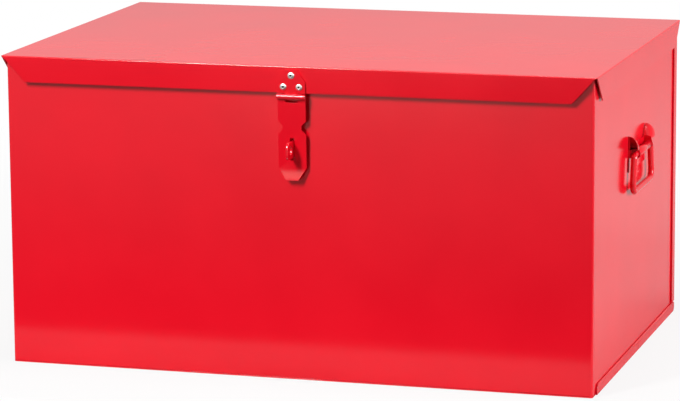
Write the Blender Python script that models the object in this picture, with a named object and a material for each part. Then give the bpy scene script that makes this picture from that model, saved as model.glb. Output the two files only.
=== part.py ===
# Jobsite tool chest: a folded sheet-steel box with a hinged lid, a hasp with
# its staple, and a drop handle on each side. Metres, +Z up. The front faces -Y
# and the underside stands on z = 0, with the origin below the middle of the box.

import math

import bmesh
import bpy
import numpy
from mathutils import Matrix, Vector

# Box
body_width = 0.700
body_depth = 0.466
chest_height = 0.367
sheet = 0.0015  # body and lid steel
fit = 0.0003  # gap left between pieces that lie on each other
corner_radius = 0.003  # outside of the two front corners
rim = 0.012  # stiffening edge folded in round the mouth
floor_flange = 0.012
back_flange = 0.015
flange_start = 0.016  # bare foot of side wall ahead of the floor's flange
fold_radius = 0.006  # outside of the fold between floor and back
flange_seam = 0.0008  # between the floor's flange and the back's
flange_round = 0.004  # upper corner of the floor flange's rear end

# Lid
front_overhang = 0.0075
side_overhang = 0.0046
rear_overhang = 0.0055
skirt = 0.0305
rear_skirt = 0.0285
skirt_lean = 0.0008  # how far the foot of a skirt leans in
bend_radius = 0.0025
bend_steps = 3
front_cut = 0.028  # shortening of each skirt end at its foot
side_cut = 0.033
rear_cut = 0.025

# Rivets
rivet_radius = 0.0020
rivet_hole = 0.0023
rivet_head = 0.0039
rivet_head_height = 0.0014
rivet_tail = 0.0030
rivet_tail_height = 0.0016

# Rear hinges
hinge_inset = 0.120  # middle of a hinge from the side wall
hinge_width = 0.060
hinge_leaf = 0.002
hinge_reach = 0.026  # leaf length measured from the pin
hinge_knuckle = 0.004
hinge_pin = 0.0020
hinge_gap = 0.0005  # between moving edges

# Hasp and staple
hasp_width = 0.033
hasp_plate = 0.002
hasp_knuckle = 0.0032
hasp_pin = 0.0015
hasp_middle = 0.0138  # length of the leaf's own knuckle
hasp_drop = 0.0039  # pin below the lid skirt's edge
leaf_height = 0.0308  # leaf above the pin
leaf_chamfer = 0.0095
leaf_shoulder = 0.014  # height of the chamfered part of the leaf
arm_length = 0.0844  # pin to the bend of the arm's tip
arm_hang = 0.0027  # how far the arm's foot hangs in towards the wall
tip_length = 0.0125
tip_rise = 0.0031  # how far the tip is bent outward
tip_width = 0.0148
notch_drop = 0.0362  # pin to the middle of the arm's waist
notch_height = 0.0155
notch_depth = 0.0053
staple_plate = 0.003
staple_height = 0.0196
staple_drop = 0.0612  # pin to the middle of the staple
staple_reach = 0.019  # staple ahead of the arm's face
eye_radius = 0.005
eye_ahead = 0.0070  # eye's middle ahead of the arm's face
slot_side = 0.0012  # slack round the staple in the arm's slot
slot_end = 0.0034
staple_base = 0.026

# Drop handles
handle_y = 0.0
handle_height = 0.2462  # pivot above the floor
handle_span = 0.0985  # over the ears
bracket_plate = 0.0011
bracket_drop = 0.0202  # pivot to the foot of the base plate
ear_width = 0.0122  # how far each ear's hood stands out
ear_rise = 0.0150  # height of the hood's rounded top
ear_lip = 0.001  # straight edge under the rounded top
hood_depth = 0.0132  # the hood is hollow this far in from its mouth
hood_low = 0.2  # share of the rise left at the hood's closed end
hood_narrow = 0.86  # share of the width left there
pivot_edge = 0.0013  # metal left round the pivot hole
rod_radius = 0.0037
pivot_out = 0.0070  # pivot from the wall
elbow_radius = 0.006
grip_corner = 0.010
bail_drop = 0.0428
bail_splay = 0.0080  # each leg leans out this much on its way down
leg_inset = 0.0024  # top of the leg inside the ear's mouth
rod_slack = 0.0004
lip_slack = 0.0032  # the raised bail stops this far under the hood
sleeve_radius = 0.0047
rod_inside = 0.016  # rod end inside the sleeve

half_w = body_width / 2
front_y = -body_depth / 2
back_y = body_depth / 2
wall_top = chest_height - sheet - fit
wall_foot = sheet + fit
flange_x = half_w + fit + sheet
hinge_offset = half_w - hinge_inset


def material(name, colour, metal, rough):
    mat = bpy.data.materials.new(name)
    mat.use_nodes = True
    shader = mat.node_tree.nodes["Principled BSDF"]
    shader.inputs["Base Color"].default_value = (*colour, 1)
    shader.inputs["Metallic"].default_value = metal
    shader.inputs["Roughness"].default_value = rough
    return mat


def add(name, bm, mat):
    bmesh.ops.recalc_face_normals(bm, faces=bm.faces)
    mesh = bpy.data.meshes.new(name)
    bm.to_mesh(mesh)
    bm.free()
    mesh.materials.append(mat)
    obj = bpy.data.objects.new(name, mesh)
    bpy.context.scene.collection.objects.link(obj)
    return obj


def joined(pieces):
    # Several closed meshes in one, for use as a cutter
    out = bmesh.new()
    for bm in pieces:
        mesh = bpy.data.meshes.new("piece")
        bm.to_mesh(mesh)
        bm.free()
        out.from_mesh(mesh)
        bpy.data.meshes.remove(mesh)
    return out


def combine(bm, other, operation):
    pair = []
    for name, part in (("kept", bm), ("other", other)):
        bmesh.ops.recalc_face_normals(part, faces=part.faces)
        mesh = bpy.data.meshes.new(name)
        part.to_mesh(mesh)
        part.free()
        obj = bpy.data.objects.new(name, mesh)
        bpy.context.scene.collection.objects.link(obj)
        pair.append(obj)
    modifier = pair[0].modifiers.new("combine", "BOOLEAN")
    modifier.solver = "EXACT"
    modifier.operation = operation
    modifier.object = pair[1]
    graph = bpy.context.evaluated_depsgraph_get()
    made = bpy.data.meshes.new_from_object(pair[0].evaluated_get(graph))
    out = bmesh.new()
    out.from_mesh(made)
    bpy.data.meshes.remove(made)
    for obj in pair:
        mesh = obj.data
        bpy.data.objects.remove(obj)
        bpy.data.meshes.remove(mesh)
    bmesh.ops.remove_doubles(out, verts=out.verts, dist=1e-6)
    bmesh.ops.dissolve_limit(out, angle_limit=0.001, verts=out.verts, edges=out.edges)
    return out


def shell(faces, thickness):
    # A folded sheet from the polygons of its outer skin: every corner is moved
    # inward so that each plane that meets there keeps the sheet's thickness
    points = []
    index = {}
    loops = []
    for face in faces:
        loop = []
        for p in face:
            key = tuple(round(c, 7) for c in p)
            if key not in index:
                index[key] = len(points)
                points.append(Vector(p))
            loop.append(index[key])
        loops.append(loop)
    normals = []
    for loop in loops:
        n = Vector()
        for i, j in zip(loop, loop[1:] + loop[:1]):
            n += points[i].cross(points[j])
        normals.append(n.normalized())
    inner = []
    for i, p in enumerate(points):
        planes = []
        for loop, n in zip(loops, normals):
            if i in loop and all((n - m).length > 1e-4 for m in planes):
                planes.append(n)
        rows = numpy.array([list(n) for n in planes])
        move = numpy.linalg.lstsq(rows, numpy.full(len(planes), -thickness), rcond=1e-6)[0]
        inner.append(p + Vector(move))
    bm = bmesh.new()
    outer_verts = [bm.verts.new(p) for p in points]
    inner_verts = [bm.verts.new(p) for p in inner]
    edges = set()
    for loop in loops:
        edges.update(zip(loop, loop[1:] + loop[:1]))
        bm.faces.new([outer_verts[i] for i in loop])
        bm.faces.new([inner_verts[i] for i in reversed(loop)])
    for a, b in edges:
        if (b, a) not in edges:
            bm.faces.new([outer_verts[b], outer_verts[a], inner_verts[a], inner_verts[b]])
    return bm


def loft(rings):
    # A closed body through rings with the same number of points
    bm = bmesh.new()
    rows = [[bm.verts.new(point) for point in ring] for ring in rings]
    bm.faces.new(rows[0])
    bm.faces.new(rows[-1][::-1])
    n = len(rows[0])
    for near, far in zip(rows, rows[1:]):
        for i in range(n):
            j = (i + 1) % n
            bm.faces.new([near[i], far[i], far[j], near[j]])
    return bm


def extrude(outline, place, low, high):
    # A flat outline (p, q) drawn out from low to high; place turns (p, q, r) into a point
    return loft([[place(p, q, r) for p, q in outline] for r in (low, high)])


def along_x(p, q, r):
    return Vector((r, p, q))


def along_y(p, q, r):
    return Vector((p, r, q))


def along_z(p, q, r):
    return Vector((p, q, r))


def circle(p, q, radius, n):
    return [
        (p + radius * math.cos(2 * math.pi * i / n), q + radius * math.sin(2 * math.pi * i / n))
        for i in range(n)
    ]


def rectangle(p0, q0, p1, q1):
    return [(p0, q0), (p1, q0), (p1, q1), (p0, q1)]


def arc(p, q, a, b, start, end, n):
    return [
        (
            p + a * math.cos(math.radians(start + (end - start) * i / n)),
            q + b * math.sin(math.radians(start + (end - start) * i / n)),
        )
        for i in range(n + 1)
    ]


def turned(profile, origin, direction, n):
    # A round piece from (radius, height) points, first and last on the axis
    axis = Vector(direction).normalized()
    side = axis.orthogonal().normalized()
    other = axis.cross(side)
    bm = bmesh.new()
    rings = []
    for radius, height in profile:
        centre = Vector(origin) + axis * height
        if radius == 0:
            rings.append([bm.verts.new(centre)])
            continue
        ring = []
        for i in range(n):
            a = 2 * math.pi * i / n
            ring.append(bm.verts.new(centre + (side * math.cos(a) + other * math.sin(a)) * radius))
        rings.append(ring)
    for low, high in zip(rings, rings[1:]):
        for i in range(n):
            j = (i + 1) % n
            if len(low) == 1:
                bm.faces.new([low[0], high[i], high[j]])
            elif len(high) == 1:
                bm.faces.new([low[i], low[j], high[0]])
            else:
                bm.faces.new([low[i], low[j], high[j], high[i]])
    return bm


def rivet(origin, direction, grip):
    # A set blind rivet: origin on the outer plate's face, direction outward
    foot = -grip - fit
    profile = [
        (0, foot - rivet_tail_height),
        (rivet_tail * 0.7, foot - rivet_tail_height),
        (rivet_tail, foot - rivet_tail_height * 0.5),
        (rivet_tail, foot),
        (rivet_radius, foot),
        (rivet_radius, fit),
        (rivet_head, fit),
        (rivet_head * 0.92, fit + rivet_head_height * 0.55),
        (rivet_head * 0.6, fit + rivet_head_height),
        (rivet_head * 0.3, fit + rivet_head_height),
        (rivet_head * 0.3, fit + rivet_head_height * 0.4),
        (0, fit + rivet_head_height * 0.4),
    ]
    return turned(profile, origin, direction, 12)


def rivet_cutter(origin, direction, grip):
    reach = 3 * grip
    profile = [(0, -reach), (rivet_hole, -reach), (rivet_hole, reach), (0, reach)]
    return turned(profile, origin, direction, 12)


def sweep(path, radius, across, n):
    # A round rod along a flat path; across is the normal of the path's plane
    bm = bmesh.new()
    rings = []
    for i, p in enumerate(path):
        before = path[max(i - 1, 0)]
        after = path[min(i + 1, len(path) - 1)]
        side = across.cross((after - before).normalized())
        ring = []
        for k in range(n):
            a = 2 * math.pi * (k + 0.5) / n
            ring.append(bm.verts.new(p + across * radius * math.cos(a) + side * radius * math.sin(a)))
        rings.append(ring)
    for low, high in zip(rings, rings[1:]):
        for k in range(n):
            m = (k + 1) % n
            bm.faces.new([low[k], low[m], high[m], high[k]])
    bm.faces.new(rings[0])
    bm.faces.new(rings[-1][::-1])
    return bm


def rounded(points, radii, steps):
    # A polyline with its inner corners turned on the given radii
    path = [points[0]]
    for before, p, after, radius in zip(points, points[1:], points[2:], radii):
        into = (before - p).normalized()
        out = (after - p).normalized()
        half = into.angle(out) / 2
        centre = p + (into + out).normalized() * radius / math.sin(half)
        start = p + into * radius / math.tan(half) - centre
        end = p + out * radius / math.tan(half) - centre
        for i in range(steps + 1):
            path.append(centre + start.slerp(end, i / steps) * radius)
    path.append(points[-1])
    return path


for old in list(bpy.data.objects):
    bpy.data.objects.remove(old)

red = material("red_powder_coat", (0.68, 0.012, 0.020), 0.0, 0.35)
alloy = material("rivet_alloy", (0.80, 0.78, 0.76), 1.0, 0.35)
zinc = material("zinc_steel", (0.55, 0.55, 0.56), 1.0, 0.4)


# Lid skirts, shared sizes

def skirt_profile(drop, lean):
    # (outward, below) from the edge of the lid's flat, round the bend and down
    turn = math.pi / 2 + math.atan2(lean, drop)
    reach = bend_radius * math.tan(turn / 2)
    points = [(0.0, 0.0)]
    for i in range(1, bend_steps + 1):
        a = turn * i / bend_steps
        points.append((bend_radius * math.sin(a), bend_radius * (1 - math.cos(a))))
    points.append((reach - lean, drop))
    return reach, points


lean_reach, lean_profile = skirt_profile(skirt, skirt_lean)
rear_reach, rear_profile = skirt_profile(rear_skirt, 0.0)
lid_x = half_w + side_overhang - lean_reach
lid_front = front_y - front_overhang + lean_reach
lid_back = back_y + rear_overhang - rear_reach


def skirt_faces(profile, low, high, low_cut, high_cut, place):
    lengths = [0.0]
    for (o0, b0), (o1, b1) in zip(profile, profile[1:]):
        lengths.append(lengths[-1] + math.hypot(o1 - o0, b1 - b0))
    rows = []
    for (outward, below), s in zip(profile, lengths):
        t = s / lengths[-1]
        rows.append((place(low + low_cut * t, outward, below), place(high - high_cut * t, outward, below)))
    return [[a[0], b[0], b[1], a[1]] for a, b in zip(rows, rows[1:])]


# Hasp frame: e_up runs up the leaning front skirt and e_out straight out of it

lean_angle = math.atan2(skirt_lean, skirt)
e_up = Vector((0, -math.sin(lean_angle), math.cos(lean_angle)))
e_out = Vector((0, -math.cos(lean_angle), -math.sin(lean_angle)))
skirt_foot = Vector((0, front_y - front_overhang + skirt_lean, chest_height - skirt))
hasp_axis = skirt_foot + e_out * (fit + hasp_knuckle) - e_up * hasp_drop
arm_back = hasp_axis.y + hasp_knuckle
arm_face = arm_back - hasp_plate
leaf_face = hasp_plate - hasp_knuckle  # from the pin, along e_out


def on_leaf(p, q, r):
    # p across, q up the leaf from the pin, r outward from the pin
    return hasp_axis + Vector((p, 0, 0)) + e_up * q + e_out * r


hasp_rivets = [(0.0, 0.0244), (-0.0094, 0.0112), (0.0094, 0.0112)]
hasp_grip = hasp_plate + fit + sheet

# Hinge line at the rear

hinge_z = chest_height - rear_skirt - hinge_knuckle - 0.0008
hinge_y = back_y + rear_overhang - hinge_gap
lid_leaf_y = back_y + rear_overhang + fit
body_leaf_y = back_y + fit
hinge_rivet_up = hinge_reach * 0.65
hinge_rivet_across = hinge_width / 3
hinge_grip = hinge_leaf + fit + sheet


# Front and side walls, one sheet folded at the two front corners

wall_end = back_y - sheet - fit
plan = [(-half_w, wall_end)]
plan += arc(-half_w + corner_radius, front_y + corner_radius, corner_radius, corner_radius, 180, 270, 4)
plan += arc(half_w - corner_radius, front_y + corner_radius, corner_radius, corner_radius, 270, 360, 4)
plan += [(half_w, wall_end)]
faces = []
for (x0, y0), (x1, y1) in zip(plan, plan[1:]):
    faces.append([(x0, y0, wall_foot), (x1, y1, wall_foot), (x1, y1, wall_top), (x0, y0, wall_top)])
mitre = corner_radius + rim
faces.append(
    [
        (-half_w, wall_end, wall_top),
        (-half_w, front_y + corner_radius, wall_top),
        (-half_w + rim, front_y + mitre, wall_top),
        (-half_w + rim, wall_end, wall_top),
    ]
)
faces.append(
    [
        (-half_w + corner_radius, front_y, wall_top),
        (half_w - corner_radius, front_y, wall_top),
        (half_w - mitre, front_y + rim, wall_top),
        (-half_w + mitre, front_y + rim, wall_top),
    ]
)
faces.append(
    [
        (half_w, front_y + corner_radius, wall_top),
        (half_w, wall_end, wall_top),
        (half_w - rim, wall_end, wall_top),
        (half_w - rim, front_y + mitre, wall_top),
    ]
)
walls = shell(faces, sheet)
staple_z = hasp_axis.z - staple_drop
tab_half = staple_plate / 2
slot = rectangle(
    -tab_half - fit,
    staple_z - staple_height / 2 - fit,
    tab_half + fit,
    staple_z + staple_height / 2 + fit,
)
walls = combine(walls, extrude(slot, along_y, front_y - sheet, front_y + 3 * sheet), "DIFFERENCE")
fold_room = rectangle(back_y - fold_radius - sheet, -sheet, back_y + sheet, fold_radius + sheet)
walls = combine(walls, extrude(fold_room, along_x, -body_width, body_width), "DIFFERENCE")
add("front_and_sides", walls, red)

# Floor, flush with the front wall that stands on it

panel_end = back_y - sheet - fit
floor_end = back_y - fold_radius - fit
outline = [(half_w, floor_end), (-half_w, floor_end)]
outline += arc(-half_w + corner_radius, front_y + corner_radius, corner_radius, corner_radius, 180, 270, 4)
outline += arc(half_w - corner_radius, front_y + corner_radius, corner_radius, corner_radius, 270, 360, 4)
add("floor", extrude(outline, along_z, 0, sheet), red)

# Back, with the rim folded in at its top and the fold that meets the floor

rim_x = half_w - rim - 2 * fit
back_flange_foot = floor_flange + flange_seam
fold = arc(back_y - fold_radius, fold_radius, fold_radius, fold_radius, 270, 360, 5)
faces = [
    [(half_w, y0, z0), (-half_w, y0, z0), (-half_w, y1, z1), (half_w, y1, z1)]
    for (y0, z0), (y1, z1) in zip(fold, fold[1:])
]
faces += [
    [
        (half_w, back_y, fold_radius),
        (-half_w, back_y, fold_radius),
        (-half_w, back_y, back_flange_foot),
        (-flange_x, back_y, back_flange_foot),
        (-flange_x, back_y, wall_top),
        (-rim_x, back_y, wall_top),
        (rim_x, back_y, wall_top),
        (flange_x, back_y, wall_top),
        (flange_x, back_y, back_flange_foot),
        (half_w, back_y, back_flange_foot),
    ],
    [
        (rim_x, back_y, wall_top),
        (-rim_x, back_y, wall_top),
        (-rim_x, back_y - rim, wall_top),
        (rim_x, back_y - rim, wall_top),
    ],
]
back = shell(faces, sheet)
holes = []
for side in (1, -1):
    for across in (-hinge_rivet_across, hinge_rivet_across):
        at = (side * hinge_offset + across, back_y, hinge_z - hinge_rivet_up)
        holes.append(rivet_cutter(at, (0, 1, 0), sheet * 2))
back = combine(back, joined(holes), "DIFFERENCE")
add("back", back, red)

# Flanges of the floor and the back, welded to the outside of each side wall

flange_y = front_y + flange_start
flange_top = wall_top - 2 * sheet
chamfer = floor_flange / 2
rear_edge = back_y - back_flange
for side, label in ((-1, "left"), (1, "right")):
    low = side * (half_w + fit)
    outline = [(flange_y, 0)]
    outline += arc(back_y - fold_radius, fold_radius, fold_radius, fold_radius, 270, 360, 5)
    outline += arc(back_y - flange_round, floor_flange - flange_round, flange_round, flange_round, 0, 90, 4)
    outline += [(flange_y + chamfer, floor_flange), (flange_y, floor_flange - chamfer)]
    add(f"{label}_floor_flange", extrude(outline, along_x, low, low + side * sheet), red)
    outline = rectangle(rear_edge, back_flange_foot, panel_end, flange_top)
    add(f"{label}_back_flange", extrude(outline, along_x, low, low + side * sheet), red)

# Lid, a flat top with four folded skirts

faces = [
    [
        (-lid_x, lid_front, chest_height),
        (lid_x, lid_front, chest_height),
        (lid_x, lid_back, chest_height),
        (-lid_x, lid_back, chest_height),
    ]
]
faces += skirt_faces(
    lean_profile, -lid_x, lid_x, front_cut, front_cut, lambda a, o, b: (a, lid_front - o, chest_height - b)
)
faces += skirt_faces(
    lean_profile, lid_front, lid_back, side_cut, rear_cut, lambda a, o, b: (lid_x + o, a, chest_height - b)
)
faces += skirt_faces(
    rear_profile, -lid_x, lid_x, front_cut, front_cut, lambda a, o, b: (-a, lid_back + o, chest_height - b)
)
faces += skirt_faces(
    lean_profile, -lid_back, -lid_front, rear_cut, side_cut, lambda a, o, b: (-lid_x - o, -a, chest_height - b)
)
lid = shell(faces, sheet)
holes = []
for across, up in hasp_rivets:
    holes.append(rivet_cutter(on_leaf(across, up, leaf_face), e_out, sheet * 2))
for side in (1, -1):
    for across in (-hinge_rivet_across, hinge_rivet_across):
        at = (side * hinge_offset + across, back_y + rear_overhang, hinge_z + hinge_rivet_up)
        holes.append(rivet_cutter(at, (0, 1, 0), sheet * 2))
lid = combine(lid, joined(holes), "DIFFERENCE")
add("lid", lid, red)

# Rear hinges

for side, label in ((-1, "left"), (1, "right")):
    middle = side * hinge_offset
    half = hinge_width / 2
    inner = half / 2  # the lid's knuckle takes the middle half
    clear = hinge_knuckle + hinge_gap
    bore_low = middle - half - hinge_leaf
    bore_high = middle + half + hinge_leaf
    bore = circle(hinge_y, hinge_z, hinge_pin + 0.00025, 16)
    ring = circle(hinge_y, hinge_z, hinge_knuckle, 16)

    body_leaf = extrude(
        rectangle(middle - half, hinge_z - hinge_reach, middle + half, hinge_z - clear),
        along_y,
        body_leaf_y,
        body_leaf_y + hinge_leaf,
    )
    lid_leaf = extrude(
        rectangle(middle - half, hinge_z + clear, middle + half, hinge_z + hinge_reach),
        along_y,
        lid_leaf_y,
        lid_leaf_y + hinge_leaf,
    )
    for low, high in ((middle - half, middle - inner - fit), (middle + inner + fit, middle + half)):
        neck = extrude(
            rectangle(low, hinge_z - clear - hinge_leaf, high, hinge_z), along_y, body_leaf_y, body_leaf_y + hinge_leaf
        )
        body_leaf = combine(body_leaf, neck, "UNION")
        body_leaf = combine(body_leaf, extrude(ring, along_x, low, high), "UNION")
    neck = extrude(
        rectangle(middle - inner, hinge_z, middle + inner, hinge_z + clear + hinge_leaf),
        along_y,
        lid_leaf_y,
        lid_leaf_y + hinge_leaf,
    )
    lid_leaf = combine(lid_leaf, neck, "UNION")
    lid_leaf = combine(lid_leaf, extrude(ring, along_x, middle - inner, middle + inner), "UNION")

    body_holes = [extrude(bore, along_x, bore_low, bore_high)]
    lid_holes = [extrude(bore, along_x, bore_low, bore_high)]
    for number, across in enumerate((-hinge_rivet_across, hinge_rivet_across), 1):
        at = (middle + across, body_leaf_y + hinge_leaf, hinge_z - hinge_rivet_up)
        body_holes.append(rivet_cutter(at, (0, 1, 0), hinge_leaf))
        add(f"{label}_hinge_body_rivet_{number}", rivet(at, (0, 1, 0), hinge_grip), alloy)
        at = (middle + across, lid_leaf_y + hinge_leaf, hinge_z + hinge_rivet_up)
        lid_holes.append(rivet_cutter(at, (0, 1, 0), hinge_leaf))
        add(f"{label}_hinge_lid_rivet_{number}", rivet(at, (0, 1, 0), hinge_grip), alloy)
    body_leaf = combine(body_leaf, joined(body_holes), "DIFFERENCE")
    lid_leaf = combine(lid_leaf, joined(lid_holes), "DIFFERENCE")
    add(f"{label}_hinge_body_leaf", body_leaf, red)
    add(f"{label}_hinge_lid_leaf", lid_leaf, red)
    end = half + fit
    profile = [
        (0, -end - 0.001),
        (hinge_pin * 1.5, -end - 0.001),
        (hinge_pin * 1.5, -end),
        (hinge_pin, -end),
        (hinge_pin, end),
        (hinge_pin * 1.5, end),
        (hinge_pin * 1.5, end + 0.001),
        (0, end + 0.001),
    ]
    add(f"{label}_hinge_pin", turned(profile, (middle, hinge_y, hinge_z), (1, 0, 0), 16), zinc)

# Hasp leaf on the lid's front skirt

half = hasp_width / 2
mid = hasp_middle / 2
clear = hasp_knuckle + hinge_gap
outline = [
    (-mid, 0),
    (mid, 0),
    (mid, clear),
    (half, clear),
    (half, leaf_height - leaf_shoulder),
    (half - leaf_chamfer, leaf_height),
    (-half + leaf_chamfer, leaf_height),
    (-half, leaf_height - leaf_shoulder),
    (-half, clear),
    (-mid, clear),
]
leaf = extrude(outline, on_leaf, -hasp_knuckle, leaf_face)
knuckle = circle(hasp_axis.y, hasp_axis.z, hasp_knuckle, 16)
bore = circle(hasp_axis.y, hasp_axis.z, hasp_pin + 0.00025, 16)
leaf = combine(leaf, extrude(knuckle, along_x, -mid, mid), "UNION")
holes = [extrude(bore, along_x, -hasp_width, hasp_width)]
for number, (across, up) in enumerate(hasp_rivets, 1):
    at = on_leaf(across, up, leaf_face)
    holes.append(rivet_cutter(at, e_out, hasp_plate))
    add(f"hasp_rivet_{number}", rivet(at, e_out, hasp_grip), alloy)
leaf = combine(leaf, joined(holes), "DIFFERENCE")
add("hasp_leaf", leaf, red)

# Hasp arm, hanging over the staple

arm_foot = hasp_axis.z - arm_length
waist = half - notch_depth
notch_z = hasp_axis.z - notch_drop
notch_half = notch_height / 2
notch_flat = notch_half - notch_depth
shoulder = arm_foot + 0.002
right_edge = [
    (half - 0.0013, arm_foot),
    (half, shoulder),
    (half, notch_z - notch_half),
    (waist, notch_z - notch_flat),
    (waist, notch_z + notch_flat),
    (half, notch_z + notch_half),
    (half, hasp_axis.z),
    (mid + fit, hasp_axis.z),
    (mid + fit, hasp_axis.z - clear - 0.0030),
    (mid * 0.5, hasp_axis.z - clear - 0.0036),
]
outline = right_edge + [(-x, z) for x, z in reversed(right_edge)]
tip = [
    (-tip_width / 2, arm_face - tip_rise, arm_foot - tip_length),
    (tip_width / 2, arm_face - tip_rise, arm_foot - tip_length),
    (half - 0.0013, arm_face, arm_foot),
    (-half + 0.0013, arm_face, arm_foot),
]
arm = shell([[(x, arm_face, z) for x, z in outline], tip], hasp_plate)
for low, high in ((-half, -mid - fit), (mid + fit, half)):
    arm = combine(arm, extrude(knuckle, along_x, low, high), "UNION")
slot = rectangle(
    -tab_half - slot_side,
    staple_z - staple_height / 2 - slot_end,
    tab_half + slot_side,
    staple_z + staple_height / 2 + slot_end,
)
holes = [
    extrude(slot, along_y, arm_face - hasp_plate, arm_back + hasp_plate),
    extrude(bore, along_x, -hasp_width, hasp_width),
]
arm = combine(arm, joined(holes), "DIFFERENCE")
hang = Matrix.Rotation(math.atan2(arm_hang, arm_length), 3, "X")
bmesh.ops.rotate(arm, verts=arm.verts, cent=hasp_axis, matrix=hang)
add("hasp_arm", arm, red)
end = half
profile = [(0, -end), (hasp_pin, -end), (hasp_pin, end), (0, end)]
add("hasp_pin", turned(profile, hasp_axis, (1, 0, 0), 16), zinc)

# Staple: a base inside the front wall and an eye plate through the wall

base_y = front_y + sheet + fit
tab_end = arm_face - staple_reach
tab_low = staple_z - staple_height / 2
tab_high = staple_z + staple_height / 2
nose = staple_height * 0.3
outline = [(base_y + staple_plate * 0.5, tab_low)]
outline += arc(tab_end + nose, tab_low + nose, nose, nose, 270, 180, 4)
outline += arc(tab_end + nose, tab_high - nose, nose, nose, 180, 90, 4)
outline += [(base_y + staple_plate * 0.5, tab_high)]
staple = extrude(outline, along_x, -tab_half, tab_half)
plate = rectangle(
    -staple_base / 2, tab_low - staple_base / 4, staple_base / 2, tab_high + staple_base / 4
)
staple = combine(staple, extrude(plate, along_y, base_y, base_y + hasp_plate), "UNION")
eye = circle(arm_face - eye_ahead, staple_z, eye_radius, 20)
staple = combine(staple, extrude(eye, along_x, -staple_plate, staple_plate), "DIFFERENCE")
add("staple", staple, red)

# Drop handles: base plate with two hooded ears, rod bail and sleeve

ear_front = handle_y - handle_span / 2
ear_rear = handle_y + handle_span / 2
lip_z = handle_height + rod_radius + lip_slack  # the lip that stops the raised bail
round_z = lip_z + ear_lip
foot_z = handle_height - bracket_drop
hood_wall = hood_depth + bracket_plate
hole_radius = rod_radius + rod_slack
edge_radius = hole_radius + pivot_edge

for side, label in ((-1, "left"), (1, "right")):

    def on_wall(p, q, r):
        # p outward from the side wall, q up, r along Y
        return Vector((side * (half_w + p), r, q))

    def across_wall(p, q, r):
        # p along Y, q up, r outward from the side wall
        return Vector((side * (half_w + r), p, q))

    def hood(face, inward, start, foot, thin, depth):
        # From an ear's mouth to its closed end, smaller than the outside by thin
        rings = []
        for i in range(7):
            bow = math.cos(math.radians(15 * i))
            out = ear_width * (hood_narrow + (1 - hood_narrow) * bow) - thin
            rise = ear_rise * (hood_low + (1 - hood_low) * bow) - thin
            outline = [(start, foot), (out, foot)] + arc(start, round_z, out - start, rise, 0, 90, 8)
            rings.append([on_wall(p, q, face + inward * depth * i / 6) for p, q in outline])
        return rings

    back = fit
    plate_face = back + bracket_plate
    web = rectangle(ear_front + 0.0003, foot_z, ear_rear - 0.0003, round_z + 0.001)
    bracket = extrude(web, across_wall, back, plate_face)
    eye = [(back + 0.0003, handle_height - edge_radius)]
    eye += arc(pivot_out, handle_height, edge_radius, edge_radius, -90, 0, 6)
    eye += [(ear_width * hood_narrow - 0.0004, round_z + 0.0006), (back + 0.0003, round_z + 0.0006)]
    hole = circle(pivot_out, handle_height, hole_radius, 16)
    cutters = []
    for face, inward in ((ear_front, 1), (ear_rear, -1)):
        shape = loft(hood(face, inward, back + 0.0002, lip_z, 0, hood_wall))
        bracket = combine(bracket, shape, "UNION")
        end = extrude(eye, on_wall, face + inward * (hood_depth + 0.0001), face + inward * (hood_wall - 0.0002))
        bracket = combine(bracket, end, "UNION")
        rings = hood(face, inward, plate_face + 0.0001, lip_z - 0.001, bracket_plate, hood_depth)
        ahead = Vector((0, -inward * 0.004, 0))
        cutters.append(loft([[point + ahead for point in rings[0]]] + rings))
    cutters.append(extrude(hole, on_wall, ear_front + hood_depth * 0.9, ear_rear - hood_depth * 0.9))
    for cutter in cutters:
        bracket = combine(bracket, cutter, "DIFFERENCE")
    add(f"{label}_handle_bracket", bracket, red)

    inside = hood_wall + fit
    leg_front = ear_front + leg_inset
    leg_rear = ear_rear - leg_inset
    x = side * (half_w + pivot_out)
    low = handle_height - bail_drop
    corners = [
        Vector((x, ear_front + inside + rod_inside, handle_height)),
        Vector((x, leg_front, handle_height)),
        Vector((x, leg_front - bail_splay, low)),
        Vector((x, leg_rear + bail_splay, low)),
        Vector((x, leg_rear, handle_height)),
        Vector((x, ear_rear - inside - rod_inside, handle_height)),
    ]
    path = rounded(corners, [elbow_radius, grip_corner, grip_corner, elbow_radius], 5)
    bail = sweep(path, rod_radius, Vector((1, 0, 0)), 12)
    add(f"{label}_bail", bail, red)

    ring = circle(pivot_out, handle_height, sleeve_radius, 16)
    bore = circle(pivot_out, handle_height, rod_radius + rod_slack / 2, 16)
    sleeve = extrude(ring, on_wall, ear_front + inside, ear_rear - inside)
    sleeve = combine(sleeve, extrude(bore, on_wall, ear_front, ear_rear), "DIFFERENCE")
    add(f"{label}_bail_sleeve", sleeve, red)
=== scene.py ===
import math

import bmesh
import bpy
from mathutils import Matrix, Vector


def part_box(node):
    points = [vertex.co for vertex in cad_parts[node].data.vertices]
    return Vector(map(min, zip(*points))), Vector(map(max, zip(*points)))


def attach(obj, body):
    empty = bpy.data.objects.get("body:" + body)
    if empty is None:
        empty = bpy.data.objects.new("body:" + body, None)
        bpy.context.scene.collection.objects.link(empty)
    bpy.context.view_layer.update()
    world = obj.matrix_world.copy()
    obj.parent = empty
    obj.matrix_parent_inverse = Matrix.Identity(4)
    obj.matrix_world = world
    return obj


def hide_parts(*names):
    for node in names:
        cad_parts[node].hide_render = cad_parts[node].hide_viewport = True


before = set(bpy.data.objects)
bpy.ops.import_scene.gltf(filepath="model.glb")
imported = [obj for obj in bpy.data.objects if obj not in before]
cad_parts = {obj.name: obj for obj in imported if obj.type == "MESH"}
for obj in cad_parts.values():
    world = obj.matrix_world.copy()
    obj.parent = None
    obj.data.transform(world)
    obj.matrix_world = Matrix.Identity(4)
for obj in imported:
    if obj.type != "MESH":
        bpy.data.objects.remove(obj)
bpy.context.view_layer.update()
print("frame loaded:", len(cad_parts), "nodes")

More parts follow.
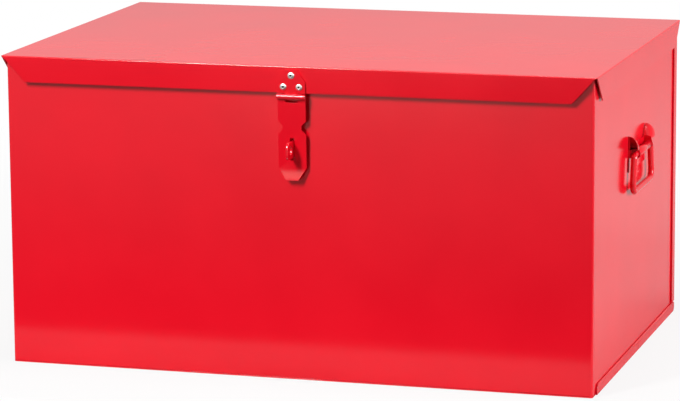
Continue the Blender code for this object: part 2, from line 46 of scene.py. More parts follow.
scene = bpy.context.scene
scene.view_settings.view_transform = "Standard"
tiny = 1e-6  # metres, for picking and merging vertices


# camera, solved from the chest's corners in the photograph

cameraSetup = {
    "place": (1.16322, -3.95253, 0.96538),
    "yaw": 16.601,  # turned left of straight back
    "pitch": 10.965,  # looking down
    "roll": -0.417,
    "lens": 183.46,
}


def setCamera(setup):
    data = bpy.data.cameras.new("camera")
    data.lens = setup["lens"]
    data.sensor_width = 36
    data.clip_end = 60
    cam = bpy.data.objects.new("camera", data)
    scene.collection.objects.link(cam)
    turn = Matrix.Rotation(math.radians(setup["yaw"]), 4, "Z")
    tilt = Matrix.Rotation(math.radians(90 - setup["pitch"]), 4, "X")
    roll = Matrix.Rotation(math.radians(setup["roll"]), 4, "Z")
    cam.matrix_world = Matrix.Translation(setup["place"]) @ turn @ tilt @ roll
    scene.camera = cam


setCamera(cameraSetup)


# materials

def linear(hexColour):
    out = []
    for i in (1, 3, 5):
        c = int(hexColour[i:i + 2], 16) / 255
        out.append(c / 12.92 if c <= 0.04045 else ((c + 0.055) / 1.055) ** 2.4)
    return (*out, 1)


def addNode(mat, kind, settings=None, **links):
    # one node with its settings; links give a socket, by name or as i and its number, the output that feeds it
    tree = mat.node_tree
    node = tree.nodes.new(kind)
    for key, value in (settings or {}).items():
        if isinstance(key, int) or key in node.inputs:
            node.inputs[key].default_value = value
        else:
            setattr(node, key, value)
    for key, source in links.items():
        socket = int(key[1:]) if key[0] == "i" else key
        tree.links.new(source, node.inputs[socket])
    return node


def newMaterial(name, **sockets):
    mat = bpy.data.materials.new(name)
    mat.use_nodes = True
    shader = mat.node_tree.nodes["Principled BSDF"]
    for key, value in sockets.items():
        shader.inputs[key].default_value = value
    return mat, shader


def feed(mat, shader, socket, source):
    mat.node_tree.links.new(source, shader.inputs[socket])


def makePowderCoat():
    # polyester powder coat, sprayed on sheet steel and baked: an even glossy red with a faint orange peel,
    # and slow waves in the thin sheet that bend its reflections
    mat, shader = newMaterial("redPowderCoat", IOR=1.43)
    place = addNode(mat, "ShaderNodeTexCoord").outputs["Object"]
    # the film drifts over 90 mm
    cloud = addNode(mat, "ShaderNodeTexNoise", {"Scale": 1 / 0.090, "Detail": 2.0}, Vector=place)
    tint = addNode(mat, "ShaderNodeValToRGB", None, Fac=cloud.outputs["Fac"])
    tint.color_ramp.elements[0].position = 0.3
    tint.color_ramp.elements[0].color = linear("#d6081e")
    tint.color_ramp.elements[1].position = 0.7
    tint.color_ramp.elements[1].color = linear("#dc0a20")
    feed(mat, shader, "Base Color", tint.outputs["Color"])
    gloss = addNode(mat, "ShaderNodeMapRange", {"To Min": 0.12, "To Max": 0.16}, Value=cloud.outputs["Fac"])
    feed(mat, shader, "Roughness", gloss.outputs["Result"])
    # peel drawn at 2.5 mm so it shows, really 1 mm, on 160 mm waves of the sheet
    peel = addNode(mat, "ShaderNodeTexNoise", {"Scale": 1 / 0.0025, "Detail": 1.0}, Vector=place)
    wave = addNode(mat, "ShaderNodeTexNoise", {"Scale": 1 / 0.160, "Detail": 0.0}, Vector=place)
    slow = addNode(mat, "ShaderNodeBump", {"Strength": 0.25, "Distance": 0.0010}, Height=wave.outputs["Fac"])
    fine = addNode(
        mat, "ShaderNodeBump", {"Strength": 0.12, "Distance": 0.00006},
        Height=peel.outputs["Fac"], Normal=slow.outputs["Normal"],
    )
    feed(mat, shader, "Normal", fine.outputs["Normal"])
    return mat


def makeRivetAlloy():
    # aluminium, cold-headed and set: pale satin metal with fine handling marks
    mat, shader = newMaterial("rivetAluminium", Metallic=1.0)
    place = addNode(mat, "ShaderNodeTexCoord").outputs["Object"]
    marks = addNode(mat, "ShaderNodeTexNoise", {"Scale": 1 / 0.0012, "Detail": 3.0}, Vector=place)  # 1.2 mm marks
    tint = addNode(mat, "ShaderNodeValToRGB", None, Fac=marks.outputs["Fac"])
    tint.color_ramp.elements[0].color = linear("#d2cfcc")
    tint.color_ramp.elements[1].color = linear("#f0eeec")
    feed(mat, shader, "Base Color", tint.outputs["Color"])
    gloss = addNode(mat, "ShaderNodeMapRange", {"To Min": 0.26, "To Max": 0.42}, Value=marks.outputs["Fac"])
    feed(mat, shader, "Roughness", gloss.outputs["Result"])
    return mat


def makeMandrelSteelHoleShade():
    # carbon steel, the mandrel's torn stub deep in the rivet, rough; its dark tint, darker than bare steel, is painted
    # shade of the hole
    mat, shader = newMaterial("mandrelSteelHoleShade", Metallic=1.0, Roughness=0.6)
    place = addNode(mat, "ShaderNodeTexCoord").outputs["Object"]
    grain = addNode(mat, "ShaderNodeTexNoise", {"Scale": 1 / 0.0006, "Detail": 2.0}, Vector=place)  # 0.6 mm grain
    tint = addNode(mat, "ShaderNodeValToRGB", None, Fac=grain.outputs["Fac"])
    tint.color_ramp.elements[0].color = linear("#2b2826")
    tint.color_ramp.elements[1].color = linear("#5a5552")
    feed(mat, shader, "Base Color", tint.outputs["Color"])
    return mat


def makeZincSteel():
    # zinc-plated steel wire, drawn and cut: grey metal with lengthwise drawing lines
    mat, shader = newMaterial("zincSteel", Metallic=1.0, Roughness=0.38)
    place = addNode(mat, "ShaderNodeTexCoord").outputs["Object"]
    # lines along X, 25 mm long and 0.4 mm apart
    along = addNode(mat, "ShaderNodeMapping", {"Scale": (1 / 0.025, 1 / 0.0004, 1 / 0.0004)}, Vector=place)
    lines = addNode(mat, "ShaderNodeTexNoise", {"Scale": 1.0, "Detail": 2.0}, Vector=along.outputs["Vector"])
    tint = addNode(mat, "ShaderNodeValToRGB", None, Fac=lines.outputs["Fac"])
    tint.color_ramp.elements[0].color = linear("#a3a5a6")
    tint.color_ramp.elements[1].color = linear("#c9cacb")
    feed(mat, shader, "Base Color", tint.outputs["Color"])
    return mat


redCoat = makePowderCoat()
rivetAlloy = makeRivetAlloy()
mandrelSteelHoleShade = makeMandrelSteelHoleShade()
zincSteel = makeZincSteel()
print("materials made")


# shared making steps

def finishPiece(bm, name, body, nodes, mats, slotName, soften=0.0, thickness=0.0, sharp=35):
    mesh = bpy.data.meshes.new(name)
    bm.to_mesh(mesh)
    bm.free()
    for mat in mats:
        mesh.materials.append(mat)
    mesh.shade_smooth()
    mesh.set_sharp_from_angle(angle=math.radians(sharp))
    obj = bpy.data.objects.new(name, mesh)
    scene.collection.objects.link(obj)
    if thickness:
        skin = obj.modifiers.new("sheet", "SOLIDIFY")
        skin.thickness = thickness
        skin.offset = -1
        skin.use_even_offset = True
        skin.use_quality_normals = True
    if soften:
        edge = obj.modifiers.new("edges", "BEVEL")
        edge.width = soften
        edge.segments = 2
        edge.limit_method = "ANGLE"
        edge.angle_limit = math.radians(sharp)
        edge.miter_outer = "MITER_ARC"
        edge.use_clamp_overlap = True
        even = obj.modifiers.new("normals", "WEIGHTED_NORMAL")
        even.keep_sharp = True
    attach(obj, body)
    if nodes:
        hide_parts(*nodes)


def finishRed(bm, name, body, nodes, **finish):
    finishPiece(bm, name, body, nodes, [redCoat], "red_powder_coat", **finish)


def extendEdges(bm, edges, move):
    # one straight run of sheet from these edges; gives the new edges back
    made = bmesh.ops.extrude_edge_only(bm, edges=edges)["geom"]
    verts = [g for g in made if isinstance(g, bmesh.types.BMVert)]
    bmesh.ops.translate(bm, verts=verts, vec=move)
    return [g for g in made if isinstance(g, bmesh.types.BMEdge)]


def turnEdges(bm, edges, centre, axis, angle, steps):
    # one bend of sheet or rod from these edges; gives the last edges back
    verts = list({v for e in edges for v in e.verts})
    made = bmesh.ops.spin(
        bm, geom=verts + edges, cent=centre, axis=axis, dvec=(0, 0, 0), angle=math.radians(angle), steps=steps,
        use_merge=False, use_normal_flip=False, use_duplicate=False,
    )["geom_last"]
    return [g for g in made if isinstance(g, bmesh.types.BMEdge)]


def mergeDoubles(bm):
    bmesh.ops.remove_doubles(bm, verts=bm.verts, dist=tiny)


def turnedShape(points, axis, steps, closed=False):
    # the points joined in order and spun once round an axis through the origin
    bm = bmesh.new()
    verts = [bm.verts.new(p) for p in points]
    edges = [bm.edges.new(pair) for pair in zip(verts, verts[1:])]
    if closed:
        edges.append(bm.edges.new((verts[-1], verts[0])))
    bmesh.ops.spin(
        bm, geom=verts + edges, cent=(0, 0, 0), axis=axis, dvec=(0, 0, 0), angle=math.tau, steps=steps,
        use_merge=True, use_normal_flip=False, use_duplicate=False,
    )
    mergeDoubles(bm)
    bmesh.ops.recalc_face_normals(bm, faces=bm.faces)
    return bm


def roundCorners(bm, corners, radius, segments):
    # rounds the corners of a flat plate
    bmesh.ops.bevel(bm, geom=corners, offset=radius, segments=segments, profile=0.5, affect="VERTICES", material=-1)


def faceAlong(bm, test, direction):
    # turns the whole sheet so that the face nearest to a point looks the given way
    bmesh.ops.recalc_face_normals(bm, faces=bm.faces)
    bm.faces.ensure_lookup_table()
    near = min(bm.faces, key=lambda f: (f.calc_center_median() - Vector(test)).length)
    near.normal_update()
    if near.normal.dot(Vector(direction)) < 0:
        bmesh.ops.reverse_faces(bm, faces=bm.faces)


def flatPlate(bm, points):
    # one face through the points
    bm.faces.new([bm.verts.new(p) for p in points])


def cadCopy(node):
    # a merged copy of a CAD node's mesh, with its flat faces whole again
    bm = bmesh.new()
    bm.from_mesh(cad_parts[node].data)
    bmesh.ops.remove_doubles(bm, verts=bm.verts, dist=2 * tiny)
    bmesh.ops.dissolve_limit(bm, angle_limit=math.radians(0.5), verts=bm.verts, edges=bm.edges)
    return bm


def nodeMiddle(node):
    low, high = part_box(node)
    return (Vector(low) + Vector(high)) / 2


# front and side walls: one sheet folded round the two front corners, with a rim turned in at the top

wallSheet = {
    "halfWidth": 0.350, "front": -0.233, "rearEnd": 0.2312, "foot": 0.0018, "top": 0.3652,
    "steel": 0.0015, "corner": 0.003, "rim": 0.012, "heel": 0.0057, "soft": 0.0004,
}


def makeWalls(d):
    bm = bmesh.new()
    w, y, r = d["halfWidth"], d["front"], d["corner"]
    a = bm.verts.new((-w, d["rearEnd"], d["foot"]))
    b = bm.verts.new((-w, d["rearEnd"], d["top"]))
    edges = [bm.edges.new((a, b))]
    edges = extendEdges(bm, edges, (0, y + r - d["rearEnd"], 0))
    edges = turnEdges(bm, edges, (-w + r, y + r, 0), (0, 0, 1), 90, 6)
    edges = extendEdges(bm, edges, (2 * w - 2 * r, 0, 0))
    edges = turnEdges(bm, edges, (w - r, y + r, 0), (0, 0, 1), 90, 6)
    extendEdges(bm, edges, (0, d["rearEnd"] - y - r, 0))
    mergeDoubles(bm)
    heel = (0, d["rearEnd"] - d["heel"], d["foot"])  # corner cut off behind, clear of the fold in the back
    bmesh.ops.bisect_plane(
        bm, geom=bm.verts[:] + bm.edges[:] + bm.faces[:], dist=tiny,
        plane_co=heel, plane_no=(0, 1, -1), clear_outer=True,
    )
    topEdges = [e for e in bm.edges if all(abs(v.co.z - d["top"]) < 10 * tiny for v in e.verts)]
    for e in [e for e in topEdges if e.calc_length() > r]:  # the three walls, without their corners
        middle = (e.verts[0].co + e.verts[1].co) / 2
        onFront = abs(middle.x) < w / 2
        inward = Vector((0, d["rim"], 0)) if onFront else Vector((-math.copysign(d["rim"], middle.x), 0, 0))
        for new in extendEdges(bm, [e], inward):
            for v in new.verts:  # mitred ends at the front corners
                if onFront:
                    v.co.x -= math.copysign(d["rim"], v.co.x)
                elif v.co.y < 0:
                    v.co.y += d["rim"]
    faceAlong(bm, (0, y, d["top"] / 2), (0, -1, 0))
    finishRed(bm, "wallSheet", "chest", ["front_and_sides"], soften=d["soft"], thickness=d["steel"])


makeWalls(wallSheet)


# floor, back and the flanges welded to the outside of the side walls

floorSheet = {"halfWidth": 0.350, "front": -0.233, "rearEnd": 0.2267, "steel": 0.0015, "corner": 0.003, "soft": 0.0003}
backSheet = {
    "halfWidth": 0.3518, "narrow": 0.350, "rimHalf": 0.3374, "face": 0.233, "step": 0.0128, "top": 0.3652,
    "steel": 0.0015, "rim": 0.012, "fold": 0.006, "soft": 0.0004,
}
sideFlange = {"inner": 0.3503, "steel": 0.0015, "soft": 0.0003}
floorFlange = {"front": -0.217, "rear": 0.233, "top": 0.012, "chamfer": 0.006, "fold": 0.006, "corner": 0.004}
backFlange = {"front": 0.218, "rear": 0.2312, "foot": 0.0128, "top": 0.3622}


def makeFloor(d):
    bm = bmesh.new()
    w = d["halfWidth"]
    flatPlate(bm, [(-w, d["front"], 0), (-w, d["rearEnd"], 0), (w, d["rearEnd"], 0), (w, d["front"], 0)])
    roundCorners(bm, [v for v in bm.verts if v.co.y < 0], d["corner"], 6)
    faceAlong(bm, (0, 0, 0), (0, 0, -1))
    finishRed(bm, "floorSheet", "chest", ["floor"], soften=d["soft"], thickness=d["steel"])


def makeBack(d):
    bm = bmesh.new()
    w, n, y, z, r = d["halfWidth"], d["narrow"], d["face"], d["top"], d["fold"]
    flatPlate(bm, [
        (n, y, r), (-n, y, r), (-n, y, d["step"]), (-w, y, d["step"]), (-w, y, z),
        (-d["rimHalf"], y, z), (d["rimHalf"], y, z), (w, y, z), (w, y, d["step"]), (n, y, d["step"]),
    ])
    topEdges = [e for e in bm.edges if all(abs(v.co.z - z) < tiny for v in e.verts)]
    rimEdge = [e for e in topEdges if all(abs(v.co.x) < d["rimHalf"] + tiny for v in e.verts)]
    footEdge = [e for e in bm.edges if all(abs(v.co.z - r) < tiny for v in e.verts)]
    extendEdges(bm, rimEdge, (0, -d["rim"], 0))
    turnEdges(bm, footEdge, (0, y - r, r), (-1, 0, 0), 90, 8)  # rounded into the floor
    mergeDoubles(bm)
    faceAlong(bm, (0, y, z / 2), (0, 1, 0))
    finishRed(bm, "backSheet", "chest", ["back"], soften=d["soft"], thickness=d["steel"])


def makeFloorFlange(d, s, side, label):
    bm = bmesh.new()
    x = side * (s["inner"] + s["steel"])
    flatPlate(bm, [
        (x, d["front"], 0), (x, d["rear"], 0), (x, d["rear"], d["top"]),
        (x, d["front"] + d["chamfer"], d["top"]), (x, d["front"], d["top"] - d["chamfer"]),
    ])
    for height, radius in ((0, d["fold"]), (d["top"], d["corner"])):
        rear = [v for v in bm.verts if v.co.y > d["rear"] - tiny]
        roundCorners(bm, [v for v in rear if abs(v.co.z - height) < tiny], radius, 8)
    faceAlong(bm, (x, 0, 0), (side, 0, 0))
    finishRed(bm, label + "FloorFlange", "chest", [label + "_floor_flange"], soften=s["soft"], thickness=s["steel"])


def makeBackFlange(d, s, side, label):
    bm = bmesh.new()
    x = side * (s["inner"] + s["steel"])
    flatPlate(bm, [
        (x, d["front"], d["foot"]), (x, d["rear"], d["foot"]), (x, d["rear"], d["top"]), (x, d["front"], d["top"]),
    ])
    faceAlong(bm, (x, d["rear"], d["top"] / 2), (side, 0, 0))
    finishRed(bm, label + "BackFlange", "chest", [label + "_back_flange"], soften=s["soft"], thickness=s["steel"])


makeFloor(floorSheet)
makeBack(backSheet)
for side, label in ((-1, "left"), (1, "right")):
    makeFloorFlange(floorFlange, sideFlange, side, label)
    makeBackFlange(backFlange, sideFlange, side, label)
print("box made")


# lid: a flat top whose four skirts are bent down, with the corners left open

lidSheet = {
    "top": 0.367, "halfWidth": 0.3546, "front": -0.2405, "rear": 0.2385, "steel": 0.0015, "bend": 0.0013,
    "skirt": 0.0305, "rearSkirt": 0.0285, "lean": 0.0008, "frontCut": 0.028, "sideCut": 0.033, "rearCut": 0.025,
    "soft": 0.0004,
}


def makeLid(d):
    bm = bmesh.new()
    r, z = d["bend"], d["top"]
    slope = math.degrees(math.atan2(d["lean"], d["skirt"]))
    reach = r * math.tan(math.radians(45 + slope / 2))
    x0, y0, y1 = d["halfWidth"] - reach, d["front"] + reach, d["rear"] - r
    flatPlate(bm, [(-x0, y0, z), (x0, y0, z), (x0, y1, z), (-x0, y1, z)])
    skirts = [  # outward, along, drop, lean, cuts at the two ends: front, right, rear, left
        ((0, -1, 0), (1, 0, 0), d["skirt"], slope, d["frontCut"], d["frontCut"]),
        ((1, 0, 0), (0, 1, 0), d["skirt"], slope, d["sideCut"], d["rearCut"]),
        ((0, 1, 0), (-1, 0, 0), d["rearSkirt"], 0, d["frontCut"], d["frontCut"]),
        ((-1, 0, 0), (0, -1, 0), d["skirt"], slope, d["rearCut"], d["sideCut"]),
    ]
    topEdges = list(bm.edges)
    for out, along, drop, lean, cutA, cutB in skirts:
        out, along = Vector(out), Vector(along)
        edge = max(topEdges, key=lambda e: (e.verts[0].co + e.verts[1].co).dot(out))
        kept = set(bm.verts)
        mid = (edge.verts[0].co + edge.verts[1].co) / 2
        last = turnEdges(bm, [edge], (mid.x, mid.y, z - r), along, 90 + lean, 6)
        low = last[0].verts[0].co.z
        tilt = math.radians(lean)
        run = (drop - (z - low)) / math.cos(tilt)
        extendEdges(bm, last, -out * math.sin(tilt) * run - Vector((0, 0, math.cos(tilt) * run)))
        for v in set(bm.verts) - kept:  # cut the ends of the skirt back as it goes down
            depth = (z - v.co.z) / drop
            v.co += along * (cutA * depth if (v.co - mid).dot(along) < 0 else -cutB * depth)
    mergeDoubles(bm)
    faceAlong(bm, (0, 0, z), (0, 0, 1))
    finishRed(bm, "lidSheet", "lid", ["lid"], soften=d["soft"], thickness=d["steel"])


makeLid(lidSheet)
print("lid made")


# blind rivets: domed head with the hole its mandrel broke off in

rivet = {
    "head": 0.0039, "height": 0.0014, "hole": 0.0014, "depth": 0.0011,
    "shank": 0.0020, "tail": 0.0030, "tailHeight": 0.0016, "gap": 0.0003,
}


def makeRivet(d, name, node, body, place, out, grip):
    g, r, h = d["gap"], d["head"], d["height"]
    foot = -grip - g
    tail, end = d["tail"], foot - d["tailHeight"]
    profile = [
        (0, end), (tail * 0.6, end), (tail, foot - d["tailHeight"] * 0.6), (tail, foot),
        (d["shank"], foot), (d["shank"], g),
        (r, g), (r, g + h * 0.2), (r * 0.93, g + h * 0.5), (r * 0.76, g + h * 0.82), (r * 0.52, g + h),
        (d["hole"] * 1.15, g + h), (d["hole"], g + h * 0.94), (d["hole"], g + h - d["depth"]), (0, g + h - d["depth"]),
    ]
    bm = turnedShape([(x, 0, z) for x, z in profile], (0, 0, 1), 24)
    # the hole's aluminium walls and its floor all take the dark mandrel material: painted shade inside the hole
    for f in bm.faces:
        c = f.calc_center_median()
        f.material_index = 1 if c.xy.length < d["hole"] * 1.02 and c.z > g else 0
    turn = Vector(out).normalized().to_track_quat("Z", "Y").to_matrix().to_4x4()
    bmesh.ops.transform(bm, verts=bm.verts, matrix=Matrix.Translation(place) @ turn)
    finishPiece(bm, name, body, [node], [rivetAlloy, mandrelSteelHoleShade], "rivet_alloy", sharp=40)


hingeRivet = {"grip": 0.0038, "body": ("chest", 0.2353), "lid": ("lid", 0.2408)}  # what it rides on, the leaf's face
for side in ("left", "right"):
    for number in ("1", "2"):
        for part in ("body", "lid"):
            body, face = hingeRivet[part]
            node = side + "_hinge_" + part + "_rivet_" + number
            m = nodeMiddle(node)
            name = side + "Hinge" + part.title() + "Rivet" + number
            makeRivet(rivet, name, node, body, (m.x, face, m.z), (0, 1, 0), hingeRivet["grip"])

haspRivet = {
    "axisY": -0.2430965, "axisZ": 0.3325096, "face": -0.0012, "grip": 0.0038,
    "spots": [(0.0, 0.0244), (-0.0094, 0.0112), (0.0094, 0.0112)],  # across and up from the hasp's pin
}
haspLean = math.atan2(lidSheet["lean"], lidSheet["skirt"])  # the hasp leans with the skirt it is riveted to
haspUp = Vector((0, -math.sin(haspLean), math.cos(haspLean)))
haspOut = Vector((0, -math.cos(haspLean), -math.sin(haspLean)))
for number, (across, up) in enumerate(haspRivet["spots"], 1):
    place = Vector((across, haspRivet["axisY"], haspRivet["axisZ"])) + haspUp * up + haspOut * haspRivet["face"]
    label = str(number)
    makeRivet(rivet, "haspRivet" + label, "hasp_rivet_" + label, "lid", place, haspOut, haspRivet["grip"])
print("rivets made")


# hinge leaves, hasp and handle brackets: the CAD shapes with their edges broken

softened = {
    "left_hinge_body_leaf": ("chest", 0.0004), "right_hinge_body_leaf": ("chest", 0.0004),
    "left_hinge_lid_leaf": ("lid", 0.0004), "right_hinge_lid_leaf": ("lid", 0.0004),
    "hasp_leaf": ("lid", 0.0005), "hasp_arm": ("hasp", 0.0005),
    "left_handle_bracket": ("chest", 0.0004), "right_handle_bracket": ("chest", 0.0004),
}


def camel(node):
    words = node.split("_")
    return words[0] + "".join(w.title() for w in words[1:])


for node, (body, edge) in softened.items():
    finishRed(cadCopy(node), camel(node), body, [node], soften=edge, sharp=32)
print("hinges, hasp and brackets made")


# staple: an eye plate through the front wall, on a base plate inside

staple = {
    "steel": 0.003, "height": 0.0196, "nose": 0.0059, "eye": 0.005, "eyeBack": 0.012, "base": 0.002,
    "soft": 0.0005, "baseSoft": 0.0004,
}


def makeStaple(d):
    low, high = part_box("staple")
    x, y0, y1 = d["steel"] / 2, low[1], high[1] - d["base"]
    z = (low[2] + high[2]) / 2
    z0, z1 = z - d["height"] / 2, z + d["height"] / 2
    bm = bmesh.new()
    flatPlate(bm, [(x, y0, z0), (x, y1, z0), (x, y1, z1), (x, y0, z1)])
    roundCorners(bm, [v for v in bm.verts if v.co.y < y0 + tiny], d["nose"], 12)
    bmesh.ops.delete(bm, geom=bm.faces[:], context="FACES_ONLY")
    middle = Matrix.Translation((x, y0 + d["eyeBack"], z)) @ Matrix.Rotation(math.radians(90), 4, "Y")
    bmesh.ops.create_circle(bm, radius=d["eye"], segments=32, matrix=middle)
    bmesh.ops.triangle_fill(bm, edges=bm.edges[:], use_beauty=True)
    faceAlong(bm, (x, y1, z), (1, 0, 0))
    finishRed(bm, "staplePlate", "chest", ["staple"], soften=d["soft"], thickness=d["steel"])
    bm = bmesh.new()
    flatPlate(bm, [(low[0], y1, low[2]), (high[0], y1, low[2]), (high[0], y1, high[2]), (low[0], y1, high[2])])
    faceAlong(bm, (0, y1, z), (0, -1, 0))
    finishRed(bm, "stapleBase", "chest", [], soften=d["baseSoft"], thickness=d["base"])


makeStaple(staple)
print("staple made")


# pins of the hinges, headed at both ends, and of the hasp

pinShape = {"hinge": 0.0020, "head": 0.0030, "headLength": 0.0010, "hasp": 0.0015}


def makePin(d, name, node, body, radius, headed):
    low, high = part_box(node)
    x0, x1 = low[0], high[0]
    mid = nodeMiddle(node)
    head, length = d["head"], d["headLength"]
    if headed:
        profile = [(x0, 0), (x0, head * 0.75), (x0 + length * 0.5, head), (x0 + length, head), (x0 + length, radius)]
        profile += [(x1 - length, radius), (x1 - length, head), (x1 - length * 0.5, head), (x1, head * 0.75), (x1, 0)]
    else:
        soft = radius * 0.2
        profile = [(x0, 0), (x0, radius - soft), (x0 + soft, radius), (x1 - soft, radius), (x1, radius - soft), (x1, 0)]
    bm = turnedShape([(x, 0, z) for x, z in profile], (1, 0, 0), 24)
    bmesh.ops.translate(bm, verts=bm.verts, vec=(0, mid.y, mid.z))
    finishPiece(bm, name, body, [node], [zincSteel], "zinc_steel", sharp=40)


makePin(pinShape, "leftHingePin", "left_hinge_pin", "chest", pinShape["hinge"], True)
makePin(pinShape, "rightHingePin", "right_hinge_pin", "chest", pinShape["hinge"], True)
makePin(pinShape, "haspPin", "hasp_pin", "lid", pinShape["hasp"], False)
print("pins made")


# drop handles: a rod bent into a bail, and the sleeve on its pivot

bail = {
    "rod": 0.0037, "pivotX": 0.3570, "pivotZ": 0.2462, "front": -0.04925, "rear": 0.04925, "inside": 0.0306,
    "inset": 0.0024, "splay": 0.0080, "drop": 0.0428, "elbow": 0.006, "grip": 0.010,
}
sleeve = {"radius": 0.0047, "bore": 0.0039, "end": 0.0146, "soft": 0.0005}


def makeBail(d, side, label):
    bm = bmesh.new()
    x, z, e, g = side * d["pivotX"], d["pivotZ"], d["elbow"], d["grip"]
    low = z - d["drop"]
    y0, y1 = d["front"] + d["inset"], d["rear"] - d["inset"]
    start = d["front"] + d["inside"]
    lean = math.atan2(d["splay"], d["drop"])  # the legs lean apart on their way down
    bendTop, bendFoot = 90 - math.degrees(lean), 90 + math.degrees(lean)
    eRun = e * math.tan(math.radians(bendTop / 2))
    gRun = g * math.tan(math.radians(bendFoot / 2))
    leg = math.hypot(d["splay"], d["drop"]) - eRun - gRun
    y2, y3 = y0 - d["splay"], y1 + d["splay"]
    across = Matrix.Translation((x, start, z)) @ Matrix.Rotation(math.radians(90), 4, "X")
    bmesh.ops.create_circle(bm, cap_ends=True, radius=d["rod"], segments=24, matrix=across)
    edges = extendEdges(bm, bm.edges[:], (0, y0 + eRun - start, 0))
    edges = turnEdges(bm, edges, (x, y0 + eRun, z - e), (1, 0, 0), bendTop, 10)
    edges = extendEdges(bm, edges, (0, -math.sin(lean) * leg, -math.cos(lean) * leg))
    edges = turnEdges(bm, edges, (x, y2 + gRun, low + g), (1, 0, 0), bendFoot, 12)
    edges = extendEdges(bm, edges, (0, y3 - y2 - 2 * gRun, 0))
    edges = turnEdges(bm, edges, (x, y3 - gRun, low + g), (1, 0, 0), bendFoot, 12)
    edges = extendEdges(bm, edges, (0, -math.sin(lean) * leg, math.cos(lean) * leg))
    edges = turnEdges(bm, edges, (x, y1 - eRun, z - e), (1, 0, 0), bendTop, 10)
    edges = extendEdges(bm, edges, (0, d["rear"] - d["inside"] - y1 + eRun, 0))
    bmesh.ops.contextual_create(bm, geom=edges)
    mergeDoubles(bm)
    bmesh.ops.recalc_face_normals(bm, faces=bm.faces)
    finishRed(bm, label + "Bail", label + "_bail", [label + "_bail"], sharp=50)


def makeSleeve(d, b, side, label):
    y0, y1 = b["front"] + d["end"], b["rear"] - d["end"]
    r, soft = d["radius"], d["soft"]
    profile = [(d["bore"], y0), (r - soft, y0), (r, y0 + soft), (r, y1 - soft), (r - soft, y1), (d["bore"], y1)]
    bm = turnedShape([(x, y, 0) for x, y in profile], (0, 1, 0), 32, closed=True)
    bmesh.ops.translate(bm, verts=bm.verts, vec=(side * b["pivotX"], 0, b["pivotZ"]))
    finishRed(bm, label + "Sleeve", label + "_bail", [label + "_bail_sleeve"], sharp=50)


for side, label in ((-1, "left"), (1, "right")):
    makeBail(bail, side, label)
    makeSleeve(sleeve, bail, side, label)
print("handles made")


# paper floor of the studio, lamps and backdrop

paperFloor = {
    "halfWidth": 4.0, "front": -0.40, "rear": 6.0, "below": 0.0002, "tone": "#bbbbbb",
    "white": 0.88,  # share of plain white that the camera sees at the chest, all white further off
    "mirror": 0.0, "mirrorFar": 0.32,  # the same for a mirrored view
    "fadeFrom": 0.5, "fadeTo": 1.6,
}
lamps = {
    "key": {  # an upright strip
        "place": (-0.88, -2.20, 1.90), "aim": (0, -0.2, 0.22), "size": (0.35, 1.1), "power": 86, "tint": "#ffffff",
    },
    "right": {
        "place": (2.85, -0.10, 1.2), "aim": (0.35, 0, 0.2), "size": (1.2, 1.2), "power": 91, "tint": "#ffffff",
    },
    "top": {
        "place": (0.1, -0.22, 2.7), "aim": (0.05, 0.0, 0.3), "size": (0.8, 0.8), "power": 39, "tint": "#ffffff",
    },
    "low": {
        "place": (-0.4, -2.1, 0.32), "aim": (0.1, -0.2, 0.25), "size": (0.5, 0.5), "power": 2, "tint": "#fff0dc",
    },
}
backdrop = {
    "diffuse": 0.12, "mirrorBehind": 0.56, "mirrorAhead": 1.0, "blend": 0.3,
    "darkBelow": -0.205, "whiteAbove": -0.158,  # ahead of the paper the room's floor is dark
}


def makePaper(d):
    bm = bmesh.new()
    w, z = d["halfWidth"], -d["below"]
    flatPlate(bm, [(-w, d["front"], z), (w, d["front"], z), (w, d["rear"], z), (-w, d["rear"], z)])
    mesh = bpy.data.meshes.new("paperFloor")
    bm.to_mesh(mesh)
    bm.free()
    # uncoated white paper off the roll: flat matt, burnt out to white in a picture
    mat = bpy.data.materials.new("seamlessPaper")
    mat.use_nodes = True
    mat.node_tree.nodes.clear()
    matt = addNode(mat, "ShaderNodeBsdfDiffuse", {"Color": linear(d["tone"])})
    glow = addNode(mat, "ShaderNodeEmission", {"Strength": 1.0})
    seen = addNode(mat, "ShaderNodeLightPath")
    direct = addNode(
        mat, "ShaderNodeMath", {"operation": "MAXIMUM"},
        i0=seen.outputs["Is Camera Ray"], i1=seen.outputs["Is Transmission Ray"],
    )
    place = addNode(mat, "ShaderNodeTexCoord").outputs["Object"]
    away = addNode(mat, "ShaderNodeVectorMath", {"operation": "LENGTH"}, i0=place).outputs["Value"]
    span = {"From Min": d["fadeFrom"], "From Max": d["fadeTo"]}
    fade = addNode(mat, "ShaderNodeMapRange", {**span, "To Min": d["white"], "To Max": 1.0}, Value=away)
    clear = addNode(
        mat, "ShaderNodeMath", {"operation": "MULTIPLY"}, i0=direct.outputs["Value"], i1=fade.outputs["Result"],
    )
    shade = addNode(mat, "ShaderNodeMapRange", {**span, "To Min": d["mirror"], "To Max": d["mirrorFar"]}, Value=away)
    mirror = addNode(
        mat, "ShaderNodeMath", {"operation": "MULTIPLY"}, i0=seen.outputs["Is Glossy Ray"], i1=shade.outputs["Result"],
    )
    share = addNode(
        mat, "ShaderNodeMath", {"operation": "MAXIMUM"}, i0=clear.outputs["Value"], i1=mirror.outputs["Value"],
    )
    both = addNode(
        mat, "ShaderNodeMixShader", None,
        Fac=share.outputs["Value"], i1=matt.outputs["BSDF"], i2=glow.outputs["Emission"],
    )
    addNode(mat, "ShaderNodeOutputMaterial", None, Surface=both.outputs["Shader"])
    mesh.materials.append(mat)
    obj = bpy.data.objects.new("paperFloor", mesh)
    scene.collection.objects.link(obj)


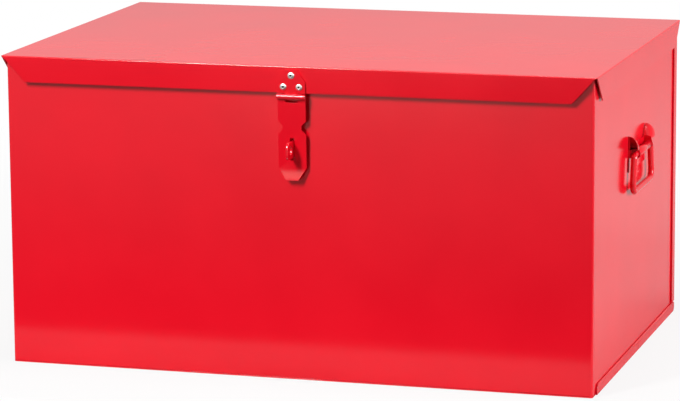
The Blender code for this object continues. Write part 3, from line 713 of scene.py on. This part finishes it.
def makeLamp(name, d):
    data = bpy.data.lights.new(name, "AREA")
    data.shape = "RECTANGLE"
    data.size, data.size_y = d["size"]
    data.energy = d["power"]
    data.color = linear(d["tint"])[:3]
    obj = bpy.data.objects.new(name, data)
    scene.collection.objects.link(obj)
    obj.location = d["place"]
    obj.rotation_euler = (Vector(d["aim"]) - Vector(d["place"])).to_track_quat("-Z", "Y").to_euler()


def makeBackdrop(d):
    # white all round for the camera; mirrored, it is pale behind the chest and white above the dark floor ahead
    world = bpy.data.worlds.new("whiteStudio")
    scene.world = world
    world.use_nodes = True
    world.node_tree.nodes.clear()
    seen = addNode(world, "ShaderNodeLightPath")
    towards = addNode(world, "ShaderNodeTexCoord").outputs["Generated"]
    axes = addNode(world, "ShaderNodeSeparateXYZ", None, Vector=towards)
    behind = addNode(
        world, "ShaderNodeMapRange", {"From Min": -d["blend"], "From Max": d["blend"], "To Min": 0.0, "To Max": 1.0},
        Value=axes.outputs["Y"],
    )
    above = addNode(
        world, "ShaderNodeMapRange",
        {"From Min": d["darkBelow"], "From Max": d["whiteAbove"], "To Min": 0.0, "To Max": d["mirrorAhead"]},
        Value=axes.outputs["Z"],
    )
    mirror = addNode(
        world, "ShaderNodeMix", {"data_type": "FLOAT", 3: d["mirrorBehind"]},
        i0=behind.outputs["Result"], i2=above.outputs["Result"],
    )
    soft = addNode(
        world, "ShaderNodeMix", {"data_type": "FLOAT", 2: d["diffuse"]},
        i0=seen.outputs["Is Glossy Ray"], i3=mirror.outputs[0],
    )
    direct = addNode(
        world, "ShaderNodeMath", {"operation": "MAXIMUM"},
        i0=seen.outputs["Is Camera Ray"], i1=seen.outputs["Is Transmission Ray"],
    )
    level = addNode(world, "ShaderNodeMath", {"operation": "MAXIMUM"}, i0=direct.outputs["Value"], i1=soft.outputs[0])
    glow = addNode(world, "ShaderNodeBackground", {"Color": (1, 1, 1, 1)}, Strength=level.outputs["Value"])
    addNode(world, "ShaderNodeOutputWorld", None, Surface=glow.outputs["Background"])


makePaper(paperFloor)
for name, d in lamps.items():
    makeLamp(name + "Lamp", d)
makeBackdrop(backdrop)
print("studio made")
